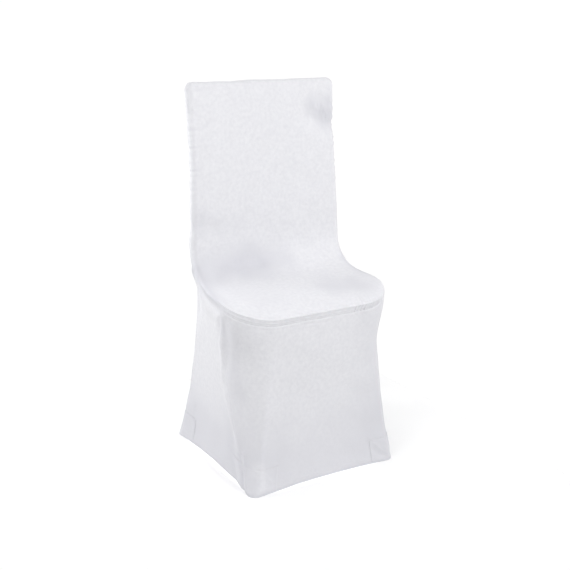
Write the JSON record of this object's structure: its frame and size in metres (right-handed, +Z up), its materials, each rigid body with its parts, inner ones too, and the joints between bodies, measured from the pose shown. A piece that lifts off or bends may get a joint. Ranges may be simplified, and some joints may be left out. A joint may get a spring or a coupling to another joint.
{
  "type": "fitted chair cover",
  "caption": "Fitted cover of stretch knit for a tall-backed dining chair, pulled tight from the back to the floor, with a doubled pocket round each foot.",
  "frame": {"origin": "on the floor, under the middle of the four feet", "axes": "+Z up, the front of the seat faces -Y, +X is on the right as seen from the front"},
  "size_m": [0.4715, 0.4409, 0.9796],
  "materials": {
    "seat_and_inside_back": "matt white stretch knit",
    "outside_back": "matt white stretch knit",
    "skirt_left": "matt white stretch knit",
    "skirt_right": "matt white stretch knit",
    "skirt_front": "matt white stretch knit",
    "foot_pocket_front_left": "matt white stretch knit",
    "foot_pocket_front_right": "matt white stretch knit",
    "foot_pocket_rear_left": "matt white stretch knit",
    "foot_pocket_rear_right": "matt white stretch knit"
  },
  "bodies": {
    "root": {"seat_and_inside_back": "seat_and_inside_back", "outside_back": "outside_back", "skirt_left": "skirt_left", "skirt_right": "skirt_right", "skirt_front": "skirt_front", "foot_pocket_front_left": "foot_pocket_front_left", "foot_pocket_front_right": "foot_pocket_front_right", "foot_pocket_rear_left": "foot_pocket_rear_left", "foot_pocket_rear_right": "foot_pocket_rear_right"}
  },
  "joints": []
}
